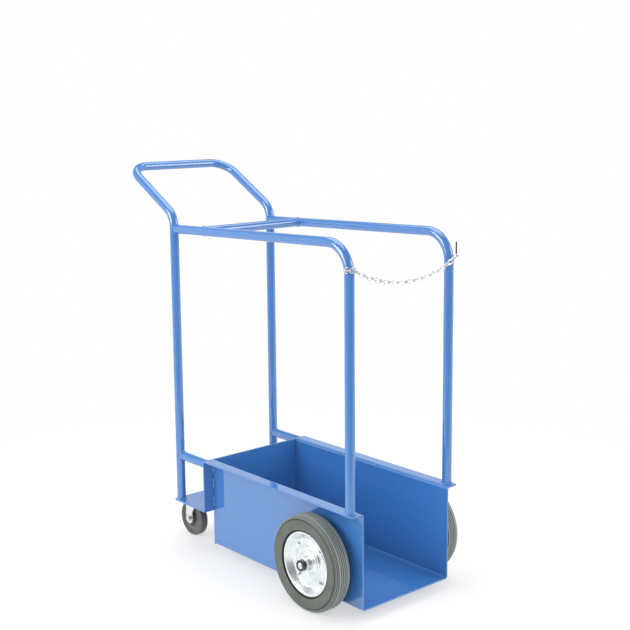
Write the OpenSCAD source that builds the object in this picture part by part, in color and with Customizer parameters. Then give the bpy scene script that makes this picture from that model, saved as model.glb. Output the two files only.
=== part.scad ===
// Gas cylinder trolley: a sheet steel tray with an open front, a bent tube frame
// with a push handle, two large wheels on stub axles, two swivel castors under a
// rear platform, and a restraining chain across the front posts.
// X runs forward to the open front, Y to the left, Z up from the ground.

/* [Tray] */
// Length of the tray, from the rear wall to the open front
tray_length = 636; // [580:1:700]
// Width over the outsides of the side panels
tray_width = 320; // [300:1:350]
// Height of the side panels, from the tray's underside to the lip's top
panel_height = 262; // [230:1:290]
// Thickness of the folded sheet
sheet_t = 4; // [3:0.5:5]
// Inside radius of the sheet's folds
fold_r = 4; // [2:0.5:6]
// Width of the outward lip, from the panel's outer face
lip_width = 36; // [33:1:44]
// Width of the folded flange under each panel, beside the floor plate
flange_w = 20; // [12:1:40]
// Height of the tray's underside above the ground
ground_gap = 28; // [20:1:40]

/* [Castor platform] */
// Distance from the rear posts' axis to the tray's rear end
post_to_wall = 140; // [132:1:170]
// Height of the platform's top above the tray's underside
platform_rise = 112; // [104:1:130]
// Thickness of the platform plate
platform_t = 6; // [4:0.5:8]
// Margin of plate outside the rear posts
platform_margin = 1; // [0:0.5:6]

/* [Tube frame] */
// Outside diameter of the frame tube
tube_d = 26; // [22:0.5:27]
// Wall thickness of the frame tube
tube_wall = 2.6; // [2:0.1:3.5]
// Gap between the front posts and the lip's outer edge
lip_margin = 3; // [0:0.5:5]
// Distance of the front posts' axis behind the open front
post_setback = 25; // [20:0.5:60]
// Height of the side rails' axis where it would meet the front posts
rail_height = 980; // [900:1:1010]
// Fall of the side rails from the front posts to the rear posts
rail_fall = 20; // [0:1:40]
// Bend radius where a side rail turns down into its front post
rail_bend_r = 75; // [50:1:110]

/* [Push handle] */
// Height of the handle bar's axis
handle_height = 1131; // [1110:1:1200]
// Reach of the handle bar's axis behind the rear posts
handle_reach = 229; // [170:1:240]
// Rise of the handle arms above the level
arm_angle = 30; // [20:1:32]
// Bend radius of the handle tube
handle_bend_r = 60; // [45:1:80]

/* [Front wheels] */
// Outside diameter of the tyres
tyre_d = 260; // [230:1:280]
// Width of the tyres
tyre_w = 52; // [48:1:60]
// Rounding of the tyres' shoulders
shoulder_r = 13; // [6:0.5:16]
// Diameter of the wheel discs' outer edge
disc_d = 173; // [160:1:180]
// Thickness of the pressed wheel discs
disc_t = 2.5; // [1.5:0.1:3]
// Distance of the axles behind the open front
axle_setback = 151; // [150:1:240]
// Gap between a tyre and its side panel
tyre_gap = 18; // [14:1:30]
// Diameter of the stub axles
axle_d = 20; // [16:0.5:22]
// Outside diameter of the wheel hubs
hub_d = 34; // [32:0.5:40]
// Thickness of the hub bushes' wall
bush_wall = 3; // [2:0.1:4]
// Length of each hub bush
bush_l = 20; // [10:1:24]
// Diameter of the stub axles' welding flange
axle_flange_d = 60; // [45:1:90]
// Thickness of the stub axles' welding flange
axle_flange_t = 5; // [4:0.5:8]
// Diameter of the retaining collars
collar_d = 30; // [27:0.5:40]
// Width of the retaining collars
collar_w = 10; // [8:0.5:14]
// Number of rivets through the two discs of a wheel
rivet_n = 4; // [3:1:8]
// Diameter of the rivets' shank
rivet_d = 6; // [4:0.5:7]

/* [Castors] */
// Diameter of the castor wheels
castor_d = 110; // [96:1:114]
// Width of the castor wheels' tread
castor_w = 26; // [20:1:30]
// Distance of the swivel axes from the middle of the trolley
castor_y = 112; // [108:1:125]
// Distance of the swivel axes in front of the rear posts' axis
castor_inset = 17; // [17:1:26]
// Trail of the castor wheels behind the swivel axis
castor_trail = 50; // [46:1:52]
// Diameter of the castors' top race
race_d = 64; // [60:1:72]
// Thickness of the top race and of the fork's crown
race_t = 5; // [4:0.5:6]
// Diameter of the swivel balls
ball_d = 6; // [5:0.5:7]
// Number of swivel balls in a castor
ball_n = 14; // [8:1:18]
// Diameter of the castors' studs
king_d = 12; // [10:0.5:14]
// Thickness of the fork legs
leg_t = 3.5; // [2.5:0.5:4.5]
// Gap between the tread and each fork leg
leg_gap = 3.5; // [2:0.5:5]
// Diameter of the castor axles
castor_axle_d = 10; // [8:0.5:12]

/* [Chain] */
// Diameter of the chain's wire
wire_d = 3.2; // [2.8:0.1:3.4]
// Distance from one link to the next
link_pitch = 15; // [14.6:0.1:15.6]
// Clear width inside a link
link_in_w = 7.8; // [7:0.1:8.5]
// Number of links between the front posts
link_n = 25; // [25:2:29]
// Height of the chain at the front posts
chain_z = 915; // [700:1:920]
// Diameter of the eye's and the hook's rod
eye_rod_d = 4; // [3:0.1:4]
// Height of the hook's free end above the chain
hook_rise = 36; // [15:1:50]

/* [Fits] */
// Radial clearance of the turning fits
run_fit = 0.05; // [0.02:0.01:0.1]
// Clearance between still pieces that are pushed together
still_fit = 0.1; // [0.05:0.05:0.2]
// Gap at welded tube joints
weld_gap = 0.2; // [0.1:0.05:0.3]
// End play of the wheels
end_play = 0.3; // [0.2:0.05:0.5]

/* [Hidden] */
$fn = 48;

paint = "#4a7cc4";
zinc = "#c9ced2";
dark_steel = "#3a3d40";
tyre_grey = "#4c4f4c";
nylon = "#e8e6dc";
cut = 1;

// Tube and sheet sizes that follow from the driving ones
tube_r = tube_d / 2;
bore_r = tube_r - tube_wall;
fold_out_r = fold_r + sheet_t;
panel_y = tray_width / 2;
lip_y = panel_y + lip_width;
post_y = lip_y - lip_margin - tube_r;

// Chain links: the straight part, the end bends, and how far they stand off a post
wire_r = wire_d / 2;
link_play = 0.7;
link_straight = link_pitch + link_play - link_in_w;
link_end_r = link_in_w / 2 + wire_r;
chain_clear = 3.2;
wrap_r = tube_r + chain_clear + link_end_r + wire_r;

// Stations along X, with the origin half way between the handle bar and the foremost point
chain_reach = wrap_r + link_end_r + wire_r;
chain_proud = max(0, chain_reach - post_setback);
overall_l = handle_reach + tube_r + post_to_wall + tray_length + chain_proud;
front_x = overall_l / 2 - chain_proud;
wall_x = front_x - tray_length;
rear_post_x = wall_x - post_to_wall;
front_post_x = front_x - post_setback;
axle_x = front_x - axle_setback;
castor_x = rear_post_x + castor_inset;
rear_edge_x = rear_post_x - tube_r - platform_margin;

// Levels above the ground
lip_z = ground_gap + panel_height;
floor_z = ground_gap + sheet_t;
platform_z = ground_gap + platform_rise;
platform_under_z = platform_z - platform_t;
stub_z = lip_z - tube_r;
axle_z = tyre_d / 2;

// Side rail: slope, bend and straight length
rail_span = front_post_x - rear_post_x;
rail_slope = atan(rail_fall / rail_span);
rail_turn = 90 + rail_slope;
rail_tangent = rail_bend_r * tan(rail_turn / 2);
rail_arc_z = rail_height - rail_tangent;
rail_l = rail_span / cos(rail_slope) - rail_tangent;
function rail_z(x) = rail_height - (front_post_x - x) * tan(rail_slope);

// Handle: knee above the rear posts, arms and corner bends
knee_z = handle_height - handle_reach * tan(arm_angle);
knee_turn = 90 - arm_angle;
knee_tangent = handle_bend_r * tan(knee_turn / 2);
knee_arc_z = knee_z - knee_tangent;
arm_l = handle_reach / cos(arm_angle);
bar_half = post_y - handle_bend_r;

// Front wheel stations, measured outward from the side panel's outer face
axle_r = axle_d / 2;
hub_r = hub_d / 2;
bush_r = axle_r + bush_wall;
washer_t = 2;
washer_r = hub_r + 1;
wheel_mid = tyre_gap + tyre_w / 2;
hub_in = axle_flange_t + washer_t + end_play;
hub_proud = 1;
hub_out = tyre_gap + tyre_w + hub_proud;
collar_in = hub_out + end_play + washer_t;
axle_tip = 1.5;
axle_l = collar_in + collar_w + axle_tip;

// Wheel disc: flange against the tyre, barrel under it, dish down to the hub
disc_r = disc_d / 2;
barrel_t = 2.5;
barrel_r = disc_r - barrel_t;
flange_sink = 4.5;
flange_e = tyre_w / 2 - flange_sink;
dish_e = 5;
boss_e = 16;
boss_w = 9.4;
cone_w = 6.7;
cone_drop = 4.5;
step_w = 4;
step_rise = 4;
knee_rise = 1.5;
rim_drop = 1;
rivet_r = rivet_d / 2;
rivet_pcd_r = hub_r + (barrel_r - hub_r) * 0.65;
rivet_head_r = rivet_r + 2;
rivet_head_t = 2.5;
rivet_seat_r = rivet_head_r + 1;
tyre_seat_r = barrel_r + still_fit;
tyre_side_r = disc_r + 1.5;
tread_groove = 1.5;
groove_n = 4;
groove_pitch = 6;

// Castor levels and radii
castor_r = castor_d / 2;
race_r = race_d / 2;
race_under_z = platform_under_z - race_t;
ball_r = ball_d / 2;
groove_r = ball_r + still_fit;
ball_sink = 0.4;
crown_top_z = race_under_z - ball_d + 2 * ball_sink;
crown_z = crown_top_z - race_t;
ball_z = race_under_z - ball_r + ball_sink;
ball_pcd_r = race_r - ball_d - 2;
king_r = king_d / 2;
hex_ratio = 1.5;
king_washer_t = 2;
king_nut_t = king_d * 0.8;
leg_in = castor_w / 2 + leg_gap;
leg_out = leg_in + leg_t;
castor_axle_r = castor_axle_d / 2;
sleeve_r = castor_axle_r + still_fit + 1.5;
leg_boss_r = castor_axle_r + 11;
core_r = castor_r - 10;
axle_head_t = castor_axle_d * 0.65;
axle_nut_t = castor_axle_d * 0.8;

// Chain: eye and hook rod, and the chord that the hanging arc spans
eye_rod_r = eye_rod_d / 2;
eye_loop_r = eye_rod_r + 4.5;
hook_bend_r = 6;
span_chord = 2 * post_y;

// Half of the arc's angle per link, found by halving the interval in which the chord fits
function chord_ratio(a) = sin(link_n * a) / sin(a);
function half_step(low, high, n) =
    n == 0 ? (low + high) / 2 :
    chord_ratio((low + high) / 2) > span_chord / link_pitch ?
        half_step((low + high) / 2, high, n - 1) : half_step(low, (low + high) / 2, n - 1);
arc_half_step = half_step(0.01, 90 / link_n, 40);
arc_r = link_pitch / (2 * sin(arc_half_step));
arc_drop = arc_r * cos(link_n * arc_half_step);

// Joint k of the hanging arc, counted from the right post
function arc_angle(k) = (2 * k - link_n) * arc_half_step;
function arc_joint(k) = [
    front_post_x + wrap_r,
    arc_r * sin(arc_angle(k)),
    chain_z + arc_drop - arc_r * cos(arc_angle(k))
];

// Links round the right post, each turning about the bend of the one it hangs in
bend_reach = wire_r + link_play / 2;
link_reach = link_pitch / 2 + bend_reach;
first_step = arc_joint(1) - arc_joint(0);
flank_turn = 66;
eye_turn = 34;
flank_dir = [cos(flank_turn), sin(flank_turn), 0];
eye_dir = [cos(eye_turn), sin(eye_turn), 0];
flank_pivot = (arc_joint(0) + arc_joint(1)) / 2 - link_reach * first_step / link_pitch
    + [0, 2 * bend_reach, 0];
flank_mid = flank_pivot - link_reach * flank_dir;
eye_pivot = flank_pivot - 2 * link_reach * flank_dir;
eye_mid = eye_pivot - (link_pitch / 2 - bend_reach) * eye_dir;
eye_at = eye_mid - (link_pitch / 2 - link_play / 2 - eye_rod_r) * eye_dir;

// Swell of the tube in its bends, and how far straight tube runs into a bend
bend_swell = 0.1;
lap = 2;

// Straight tube of radius r along +Z
module rod(r, l) {
    cylinder(r = r, h = l);
}

// Round bend in the XZ plane, starting along +Z at [bend_r, 0, 0] and turning towards -X
module bend_up(r, bend_r, angle) {
    rotate([90, 0, 0])
        rotate_extrude(angle = angle)
            translate([bend_r, 0])
                circle(r);
}

// Ring of a flat shape, with its axis along +Y
module ring_y() {
    rotate([-90, 0, 0])
        rotate_extrude()
            children();
}

// Hexagon along +Z for a thread of diameter d
module hex(d, t) {
    cylinder(d = d * hex_ratio / cos(30), h = t, $fn = 6);
}

// Mirrored copy for the right side
module on_side(side) {
    if (side > 0) {
        children();
    } else {
        mirror([0, 1, 0])
            children();
    }
}

// Post cylinder that welded tubes are cut back from
module post_cutter(x) {
    translate([x, post_y, 0])
        rod(tube_r + weld_gap, handle_height);
}

// Floor plate between the flanges of the two panels
module tray_floor() {
    color(paint)
        translate([wall_x, -panel_y + fold_out_r + flange_w, ground_gap])
            cube([tray_length, tray_width - 2 * (fold_out_r + flange_w), sheet_t]);
}

// Quarter of a folded corner, seen along X
module fold() {
    intersection() {
        difference() {
            circle(fold_out_r);
            circle(fold_r);
        }
        square(fold_out_r);
    }
}

// Folded side panel: flange, wall and outward lip, open at both ends
module side_panel(side) {
    color(paint)
        on_side(side)
            translate([wall_x, 0, 0])
                rotate([90, 0, 90])
                    linear_extrude(tray_length) {
                        translate([panel_y - sheet_t, ground_gap + fold_out_r])
                            square([sheet_t, panel_height - 2 * fold_out_r]);
                        translate([panel_y - fold_out_r, ground_gap + fold_out_r])
                            rotate(-90)
                                fold();
                        translate([panel_y - fold_out_r - flange_w, ground_gap])
                            square([flange_w, sheet_t]);
                        translate([panel_y + fold_r, lip_z - fold_out_r])
                            rotate(90)
                                fold();
                        translate([panel_y + fold_r, lip_z - sheet_t])
                            square([lip_width - fold_r, sheet_t]);
                    }
}
module side_panel_left() { side_panel(1); }
module side_panel_right() { side_panel(-1); }

// Rear wall: closes the tray and carries an ear beside each panel
module rear_wall() {
    color(paint)
        translate([wall_x - sheet_t, 0, 0]) {
            translate([0, -lip_y, platform_under_z])
                cube([sheet_t, 2 * lip_y, lip_z - platform_under_z]);
            translate([0, -panel_y, ground_gap])
                cube([sheet_t, tray_width, platform_under_z - ground_gap]);
        }
}

// Platform plate over the castors, drilled for their studs
module castor_platform() {
    color(paint)
        difference() {
            translate([rear_edge_x, -lip_y, platform_under_z])
                cube([wall_x - sheet_t - rear_edge_x, 2 * lip_y, platform_t]);
            for (side = [-1, 1])
                translate([castor_x, side * castor_y, platform_under_z - cut])
                    rod(king_r + still_fit, platform_t + 2 * cut);
        }
}

// Rear post: straight tube from the platform to the foot of the handle's knee
module rear_post(side) {
    color(paint)
        on_side(side)
            translate([rear_post_x, post_y, platform_z])
                difference() {
                    rod(tube_r, knee_arc_z - platform_z);
                    translate([0, 0, -cut])
                        rod(bore_r, knee_arc_z - platform_z + 2 * cut);
                }
}
module rear_post_left() { rear_post(1); }
module rear_post_right() { rear_post(-1); }

// Path of the handle tube at radius r, with open ends where it is cut through
module handle_path(r, through) {
    for (side = [-1, 1])
        translate([rear_post_x, side * post_y, knee_arc_z]) {
            translate([-handle_bend_r, 0, 0])
                bend_up(r + bend_swell, handle_bend_r, knee_turn);
            if (through)
                translate([0, 0, -cut])
                    rod(r, cut + lap);
        }
    translate([rear_post_x, 0, knee_z])
        rotate([0, arm_angle, 0]) {
            for (side = [-1, 1]) {
                translate([lap - knee_tangent, side * post_y, 0])
                    rotate([0, -90, 0])
                        rod(r, arm_l - knee_tangent - handle_bend_r + 2 * lap);
                translate([handle_bend_r - arm_l, side * bar_half, 0])
                    rotate([0, 0, side > 0 ? 90 : 180])
                        rotate_extrude(angle = 90)
                            translate([handle_bend_r, 0])
                                circle(r + bend_swell);
            }
            translate([-arm_l, -bar_half - lap, 0])
                rotate([-90, 0, 0])
                    rod(r, 2 * (bar_half + lap));
        }
}

// Push handle: knees, slanting arms, corner bends and bar in one bent tube
module push_handle() {
    color(paint)
        difference() {
            handle_path(tube_r, false);
            handle_path(bore_r, true);
        }
}

// Path of a side rail and its front post at radius r, lengthened below by extra
module rail_path(r, extra) {
    translate([front_post_x, post_y, lip_z - extra])
        rod(r, rail_arc_z - lip_z + extra + lap);
    translate([front_post_x - rail_bend_r, post_y, rail_arc_z]) {
        bend_up(r + bend_swell, rail_bend_r, rail_turn);
        rotate([0, -rail_turn, 0])
            translate([rail_bend_r, 0, -lap])
                rod(r, rail_l + lap);
    }
}

// Side rail: welded to the rear post, bent down at the front to stand on the lip
module side_rail(side) {
    color(paint)
        on_side(side)
            difference() {
                rail_path(tube_r, 0);
                rail_path(bore_r, cut);
                post_cutter(rear_post_x);
            }
}
module side_rail_left() { side_rail(1); }
module side_rail_right() { side_rail(-1); }

// Short tube from a rear post to the ear of the rear wall
module lower_stub(side) {
    stub_l = post_to_wall - sheet_t;
    color(paint)
        on_side(side)
            difference() {
                translate([rear_post_x, post_y, stub_z])
                    rotate([0, 90, 0])
                        difference() {
                            rod(tube_r, stub_l);
                            translate([0, 0, -cut])
                                rod(bore_r, stub_l + 2 * cut);
                        }
                post_cutter(rear_post_x);
            }
}
module lower_stub_left() { lower_stub(1); }
module lower_stub_right() { lower_stub(-1); }

// Cross tube between the side rails, above the rear wall
module cross_tube() {
    color(paint)
        difference() {
            translate([wall_x, -post_y, rail_z(wall_x)])
                rotate([-90, 0, 0])
                    difference() {
                        rod(tube_r, 2 * post_y);
                        rod(bore_r, 2 * post_y);
                    }
            for (side = [-1, 1])
                translate([rear_post_x, side * post_y, rail_z(rear_post_x)])
                    rotate([0, 90 - rail_slope, 0])
                        rod(tube_r + weld_gap, rail_span);
        }
}

// Place on a wheel axis, with Y measured outward from the panel's outer face
module at_axle(side) {
    on_side(side)
        translate([axle_x, panel_y, axle_z])
            children();
}

// Stub axle with its welding flange and a chamfered tip
module stub_axle(side) {
    tip_chamfer = 1;
    color(zinc)
        at_axle(side)
            ring_y() {
                square([axle_flange_d / 2, axle_flange_t]);
                square([axle_r, axle_l - tip_chamfer]);
                square([axle_r - tip_chamfer, axle_l]);
            }
}
module stub_axle_left() { stub_axle(1); }
module stub_axle_right() { stub_axle(-1); }

// Washers at both ends of a hub
module axle_washers(side) {
    color(zinc)
        at_axle(side)
            for (y = [axle_flange_t, hub_out + end_play])
                ring_y()
                    translate([axle_r + still_fit, y])
                        square([washer_r - axle_r - still_fit, washer_t]);
}
module axle_washers_left() { axle_washers(1); }
module axle_washers_right() { axle_washers(-1); }

// Dark retaining collar at the end of a stub axle
module axle_collar(side) {
    color(dark_steel)
        at_axle(side)
            ring_y()
                translate([axle_r + still_fit, collar_in])
                    square([collar_d / 2 - axle_r - still_fit, collar_w]);
}
module axle_collar_left() { axle_collar(1); }
module axle_collar_right() { axle_collar(-1); }

// Tyre section: a foot between the disc flanges and a round-shouldered body
module tyre_section() {
    body_h = tyre_d / 2 - tyre_side_r;
    foot_r = 3;
    translate([tyre_seat_r, -flange_e + disc_t + still_fit])
        square([body_h / 2, 2 * (flange_e - disc_t - still_fit)]);
    translate([tyre_side_r, -tyre_w / 2 + shoulder_r])
        square([body_h, tyre_w - 2 * shoulder_r]);
    translate([tyre_side_r + foot_r, -tyre_w / 2])
        square([body_h - foot_r - shoulder_r, tyre_w]);
    for (end = [-1, 1]) {
        translate([tyre_d / 2 - shoulder_r, end * (tyre_w / 2 - shoulder_r)])
            circle(shoulder_r);
        translate([tyre_side_r + foot_r, end * (tyre_w / 2 - foot_r)])
            circle(foot_r);
    }
    translate([tyre_side_r, -tyre_w / 2 + foot_r])
        square([body_h / 2, tyre_w - 2 * foot_r]);
}

// Solid rubber tyre with grooves round its tread
module tyre(side) {
    color(tyre_grey)
        at_axle(side)
            translate([0, wheel_mid, 0])
                ring_y()
                    difference() {
                        tyre_section();
                        for (i = [0:groove_n - 1])
                            translate([tyre_d / 2 - tread_groove, (i - (groove_n - 1) / 2) * groove_pitch])
                                translate([0, -tread_groove / 2])
                                    square([2 * tread_groove, tread_groove]);
                    }
}
module tyre_left() { tyre(1); }
module tyre_right() { tyre(-1); }

// Section of a pressed disc, from the hub out to the flange and back along the barrel,
// with a flat ring for the rivets between the cone and the rise to the flange
module disc_section() {
    seat_in_r = rivet_pcd_r - rivet_seat_r;
    seat_out_r = rivet_pcd_r + rivet_seat_r;
    face = [
        [hub_r + still_fit, boss_e],
        [hub_r + boss_w, boss_e],
        [hub_r + boss_w + cone_w, boss_e - cone_drop],
        [seat_in_r - step_w, dish_e + knee_rise],
        [seat_in_r, dish_e],
        [seat_out_r, dish_e],
        [seat_out_r + step_w, dish_e + step_rise],
        [barrel_r - barrel_t, flange_e - rim_drop]
    ];
    last = len(face) - 1;
    back = [for (i = [last:-1:0]) face[i] - [0, disc_t]];
    rim = [
        [barrel_r, flange_e],
        [disc_r, flange_e],
        [disc_r, flange_e - disc_t],
        [barrel_r, flange_e - disc_t],
        [barrel_r, weld_gap / 2],
        [barrel_r - barrel_t, weld_gap / 2]
    ];
    polygon(concat(face, rim, back));
}

// Pressed wheel disc on one face of the wheel
module wheel_disc(side, face) {
    color(zinc)
        at_axle(side)
            translate([0, wheel_mid, 0])
                difference() {
                    on_side(face)
                        ring_y()
                            disc_section();
                    for (i = [0:rivet_n - 1])
                        rotate([0, (i + 0.5) * 360 / rivet_n, 0])
                            translate([rivet_pcd_r, 0, 0])
                                rotate([90, 0, 0])
                                    cylinder(r = rivet_r + still_fit, h = tyre_w, center = true);
                }
}
module outer_disc_left() { wheel_disc(1, 1); }
module outer_disc_right() { wheel_disc(-1, 1); }
module inner_disc_left() { wheel_disc(1, -1); }
module inner_disc_right() { wheel_disc(-1, -1); }

// Hub tube through the two discs
module hub(side) {
    color(zinc)
        at_axle(side)
            ring_y()
                translate([bush_r + still_fit, hub_in])
                    square([hub_r - bush_r - still_fit, hub_out - hub_in]);
}
module hub_left() { hub(1); }
module hub_right() { hub(-1); }

// Plain bushes in both ends of a hub, running on the stub axle
module hub_bushes(side) {
    color(nylon)
        at_axle(side)
            for (y = [hub_in, hub_out - bush_l])
                ring_y()
                    translate([axle_r + run_fit, y])
                        square([bush_wall - run_fit, bush_l]);
}
module hub_bushes_left() { hub_bushes(1); }
module hub_bushes_right() { hub_bushes(-1); }

// Rivets that hold the two discs of a wheel together
module disc_rivets(side) {
    color(zinc)
        at_axle(side)
            translate([0, wheel_mid, 0])
                for (i = [0:rivet_n - 1])
                    rotate([0, (i + 0.5) * 360 / rivet_n, 0])
                        translate([rivet_pcd_r, 0, 0])
                            for (face = [-1, 1])
                                on_side(face)
                                    ring_y() {
                                        square([rivet_r, dish_e]);
                                        translate([0, dish_e])
                                            square([rivet_head_r, rivet_head_t]);
                                    }
}
module disc_rivets_left() { disc_rivets(1); }
module disc_rivets_right() { disc_rivets(-1); }

// Place on a swivel axis at ground level
module at_castor(side) {
    on_side(side)
        translate([castor_x, castor_y, 0])
            children();
}

// Groove that the swivel balls run in
module ball_groove() {
    translate([0, 0, ball_z])
        rotate_extrude()
            translate([ball_pcd_r, 0])
                circle(groove_r);
}

// Top race, still against the platform
module castor_race(side) {
    color(zinc)
        at_castor(side)
            difference() {
                translate([0, 0, race_under_z])
                    rod(race_r, race_t);
                translate([0, 0, race_under_z - cut])
                    rod(king_r + still_fit, race_t + 2 * cut);
                ball_groove();
            }
}
module castor_race_left() { castor_race(1); }
module castor_race_right() { castor_race(-1); }

// Ring of balls between the race and the fork's crown
module castor_balls(side) {
    color(zinc)
        at_castor(side)
            for (i = [0:ball_n - 1])
                rotate(i * 360 / ball_n)
                    translate([ball_pcd_r, 0, ball_z])
                        sphere(ball_r);
}
module castor_balls_left() { castor_balls(1); }
module castor_balls_right() { castor_balls(-1); }

// Stud, welded flush into the platform, through the race and the crown
module castor_stud(side) {
    shank_z = crown_z - king_washer_t - king_nut_t - 2 * end_play;
    color(zinc)
        at_castor(side)
            translate([0, 0, shank_z])
                rod(king_r, platform_z - shank_z);
}
module castor_stud_left() { castor_stud(1); }
module castor_stud_right() { castor_stud(-1); }

// Flanged nut under the crown
module castor_nut(side) {
    nut_top_z = crown_z - end_play;
    color(zinc)
        at_castor(side)
            difference() {
                union() {
                    translate([0, 0, nut_top_z - king_washer_t])
                        rod(king_d, king_washer_t);
                    translate([0, 0, nut_top_z - king_washer_t - king_nut_t])
                        hex(king_d, king_nut_t);
                }
                rod(king_r + still_fit, platform_z);
            }
}
module castor_nut_left() { castor_nut(1); }
module castor_nut_right() { castor_nut(-1); }

// Outline of a fork leg, seen along Y, with X forward from the swivel axis
module leg_outline() {
    root = race_r * 0.66;
    shoulder = race_t + 2;
    throat = 20;
    knee = 23;
    nape = 46;
    polygon([
        [root, crown_z + race_t / 2],
        [root, crown_z - shoulder],
        [-root, crown_z - throat],
        [leg_boss_r - castor_trail, castor_r + knee],
        [leg_boss_r - castor_trail, castor_r],
        [-leg_boss_r - castor_trail, castor_r],
        [-leg_boss_r - castor_trail, castor_r + nape],
        [-root, crown_z + race_t / 2]
    ]);
    translate([-castor_trail, castor_r])
        circle(leg_boss_r);
}

// Swivel fork: crown disc with two upright legs, swept back from the swivel axis
module castor_fork(side) {
    color(zinc)
        at_castor(side)
            difference() {
                union() {
                    translate([0, 0, crown_z])
                        rod(race_r, race_t);
                    for (flank = [-1, 1])
                        translate([0, flank > 0 ? leg_out : -leg_in, 0])
                            rotate([90, 0, 0])
                                linear_extrude(leg_t)
                                    leg_outline();
                }
                translate([0, 0, crown_z - cut])
                    rod(king_r + run_fit, race_t + 2 * cut);
                translate([-castor_trail, -leg_out - cut, castor_r])
                    rotate([-90, 0, 0])
                        rod(castor_axle_r + still_fit, 2 * (leg_out + cut));
                ball_groove();
            }
}
module castor_fork_left() { castor_fork(1); }
module castor_fork_right() { castor_fork(-1); }

// Place on a castor wheel's axis, at the middle of the wheel
module at_castor_wheel(side) {
    at_castor(side)
        translate([-castor_trail, 0, castor_r])
            children();
}

// Castor axle: bolt with its head on the outer leg
module castor_axle(side) {
    tip_l = axle_nut_t + 1;
    color(zinc)
        at_castor_wheel(side) {
            translate([0, leg_out, 0])
                rotate([-90, 0, 0])
                    hex(castor_axle_d, axle_head_t);
            translate([0, -leg_out - tip_l, 0])
                rotate([-90, 0, 0])
                    rod(castor_axle_r, 2 * leg_out + tip_l);
        }
}
module castor_axle_left() { castor_axle(1); }
module castor_axle_right() { castor_axle(-1); }

// Nut on the inner leg
module castor_axle_nut(side) {
    color(zinc)
        at_castor_wheel(side)
            translate([0, -leg_out, 0])
                rotate([90, 0, 0])
                    difference() {
                        hex(castor_axle_d, axle_nut_t);
                        translate([0, 0, -cut])
                            rod(castor_axle_r + still_fit, axle_nut_t + 2 * cut);
                    }
}
module castor_axle_nut_left() { castor_axle_nut(1); }
module castor_axle_nut_right() { castor_axle_nut(-1); }

// Sleeve between the legs, which the castor wheel turns on
module castor_sleeve(side) {
    color(zinc)
        at_castor_wheel(side)
            ring_y()
                translate([castor_axle_r + still_fit, -leg_in])
                    square([sleeve_r - castor_axle_r - still_fit, 2 * leg_in]);
}
module castor_sleeve_left() { castor_sleeve(1); }
module castor_sleeve_right() { castor_sleeve(-1); }

// Wheel centre of a castor: hub, dished web, flat ring and rim, turned in one piece
module castor_core(side) {
    core_hub_r = sleeve_r + 9;
    hub_half = leg_in - end_play;
    dish_r = core_hub_r + 11;
    web_t = 8;
    face_inset = 4;
    rim_t = 4;
    rim_inset = 1;
    color(dark_steel)
        at_castor_wheel(side)
            ring_y() {
                translate([sleeve_r + run_fit, -hub_half])
                    square([core_hub_r - sleeve_r - run_fit, 2 * hub_half]);
                translate([core_hub_r - cut, -web_t / 2])
                    square([dish_r - core_hub_r + 2 * cut, web_t]);
                translate([dish_r, face_inset - castor_w / 2])
                    square([core_r - rim_t - dish_r + cut, castor_w - 2 * face_inset]);
                translate([core_r - rim_t, rim_inset - castor_w / 2])
                    square([rim_t, castor_w - 2 * rim_inset]);
            }
}
module castor_core_left() { castor_core(1); }
module castor_core_right() { castor_core(-1); }

// Round-shouldered tread of a castor wheel
module castor_tread(side) {
    edge_r = 5;
    color(tyre_grey)
        at_castor_wheel(side)
            ring_y() {
                translate([core_r + still_fit, -castor_w / 2])
                    square([castor_r - core_r - still_fit - edge_r, castor_w]);
                translate([core_r + still_fit, -castor_w / 2 + edge_r])
                    square([castor_r - core_r - still_fit, castor_w - 2 * edge_r]);
                for (end = [-1, 1])
                    translate([castor_r - edge_r, end * (castor_w / 2 - edge_r)])
                        circle(edge_r);
            }
}
module castor_tread_left() { castor_tread(1); }
module castor_tread_right() { castor_tread(-1); }

// One welded chain link, lying in the XY plane along X
module chain_link() {
    for (end = [0, 180])
        rotate([0, 0, end]) {
            translate([link_straight / 2, 0, 0])
                rotate([0, 0, -90])
                    rotate_extrude(angle = 180)
                        translate([link_end_r, 0])
                            circle(wire_r);
            translate([-link_straight / 2, link_end_r, 0])
                rotate([0, 90, 0])
                    rod(wire_r, link_straight);
        }
}

// Link with its middle at a point, along a direction, rolled about its own length
module link_at(middle, dir, roll) {
    translate(middle)
        rotate([0, -asin(dir[2] / norm(dir)), atan2(dir[1], dir[0])])
            rotate([roll, 0, 0])
                chain_link();
}

// Link k of the hanging arc; alternate links stand at right angles to each other
module arc_link(k) {
    link_at((arc_joint(k) + arc_joint(k + 1)) / 2, arc_joint(k + 1) - arc_joint(k), 90 * (k % 2));
}

// Links between the posts, which hang free and swing together
module chain_span() {
    color(zinc)
        for (k = [1:link_n - 2])
            arc_link(k);
}

// Links at both ends, which lie round the posts and stay still
module chain_end_links() {
    color(zinc)
        for (side = [-1, 1])
            on_side(side) {
                link_at(eye_mid, eye_dir, 0);
                link_at(flank_mid, flank_dir, 90);
                arc_link(0);
            }
}

// Eye on the right front post: a bent rod with both feet on the tube
module chain_eye() {
    foot_l = -post_y - eye_at[1] - eye_loop_r;
    color(zinc)
        difference() {
            translate(eye_at) {
                translate([0, eye_loop_r, 0])
                    rotate([90, 0, 90])
                        rotate([0, 0, 90])
                            rotate_extrude(angle = 180)
                                translate([eye_loop_r, 0])
                                    circle(eye_rod_r);
                for (level = [-1, 1])
                    translate([0, eye_loop_r, level * eye_loop_r])
                        rotate([-90, 0, 0])
                            rod(eye_rod_r, foot_l);
            }
            translate([front_post_x, -post_y, 0])
                rod(tube_r + weld_gap, rail_height);
        }
}

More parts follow.
